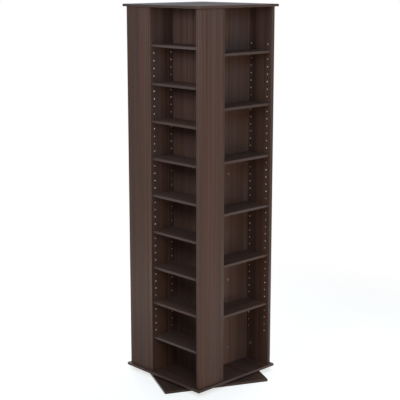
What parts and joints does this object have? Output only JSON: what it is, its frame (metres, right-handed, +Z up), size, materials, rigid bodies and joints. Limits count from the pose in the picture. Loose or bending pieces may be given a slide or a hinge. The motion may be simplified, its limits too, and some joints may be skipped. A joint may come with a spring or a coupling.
{
  "type": "cd dvd storage tower",
  "caption": "Tall square four-sided storage tower for CD and DVD cases, with shelved bays in a pinwheel plan, turning on a ball-bearing base board.",
  "frame": {"origin": "on the floor, on the vertical axis that the tower turns about", "axes": "+Z up; -Y out of the CD bay that is at the left in the picture, +X out of the DVD bay at the right"},
  "size_m": [0.6248, 0.6248, 1.632],
  "materials": {
    "laminate": "dark brown wood-grain laminate on particle board, satin",
    "shelf_laminate": "dark brown wood-grain laminate with an edge band, satin",
    "steel": "zinc-plated pressed steel",
    "cap_plastic": "brown plastic cap over a steel screw"
  },
  "bodies": {
    "base": {"base_board": "laminate", "bearing_lower_plate": "steel"},
    "ball_ring": {"ball_ring": "steel"},
    "tower": {"bearing_upper_plate": "steel", "bottom_panel": "laminate", "top_panel": "laminate", "divider_front": "laminate", "side_panel_front": "laminate", "cd_shelf_front_1": "shelf_laminate", "cd_shelf_front_2": "shelf_laminate", "cd_shelf_front_3": "shelf_laminate", "cd_shelf_front_4": "shelf_laminate", "cd_shelf_front_5": "shelf_laminate", "cd_shelf_front_6": "shelf_laminate", "cd_shelf_front_7": "shelf_laminate", "cd_shelf_front_8": "shelf_laminate", "cd_shelf_front_9": "shelf_laminate", "joint_screw_front_1": "cap_plastic", "joint_screw_front_2": "cap_plastic", "joint_screw_front_3": "cap_plastic", "cam_lock_front": "steel", "divider_right": "laminate", "side_panel_right": "laminate", "dvd_shelf_right_1": "shelf_laminate", "dvd_shelf_right_2": "shelf_laminate", "dvd_shelf_right_3": "shelf_laminate", "dvd_shelf_right_4": "shelf_laminate", "dvd_shelf_right_5": "shelf_laminate", "dvd_shelf_right_6": "shelf_laminate", "joint_screw_right_1": "cap_plastic", "joint_screw_right_2": "cap_plastic", "joint_screw_right_3": "cap_plastic", "cam_lock_right": "steel", "divider_back": "laminate", "side_panel_back": "laminate", "cd_shelf_back_1": "shelf_laminate", "cd_shelf_back_2": "shelf_laminate", "cd_shelf_back_3": "shelf_laminate", "cd_shelf_back_4": "shelf_laminate", "cd_shelf_back_5": "shelf_laminate", "cd_shelf_back_6": "shelf_laminate", "cd_shelf_back_7": "shelf_laminate", "cd_shelf_back_8": "shelf_laminate", "cd_shelf_back_9": "shelf_laminate", "joint_screw_back_1": "cap_plastic", "joint_screw_back_2": "cap_plastic", "joint_screw_back_3": "cap_plastic", "cam_lock_back": "steel", "divider_left": "laminate", "side_panel_left": "laminate", "dvd_shelf_left_1": "shelf_laminate", "dvd_shelf_left_2": "shelf_laminate", "dvd_shelf_left_3": "shelf_laminate", "dvd_shelf_left_4": "shelf_laminate", "dvd_shelf_left_5": "shelf_laminate", "dvd_shelf_left_6": "shelf_laminate", "joint_screw_left_1": "cap_plastic", "joint_screw_left_2": "cap_plastic", "joint_screw_left_3": "cap_plastic", "cam_lock_left": "steel"}
  },
  "joints": [
    {"name": "tower_spin", "type": "hinge", "parent": "base", "child": "tower", "pos_m": [0, 0, 0.018], "axis": [0, 0, 1], "continuous": true},
    {"name": "ball_ring_spin", "type": "hinge", "parent": "base", "child": "ball_ring", "pos_m": [0, 0, 0.0145], "axis": [0, 0, 1], "continuous": true}
  ],
  "couplings": [
    {"joint": "ball_ring_spin", "follows": "tower_spin", "ratio": 0.5}
  ]
}
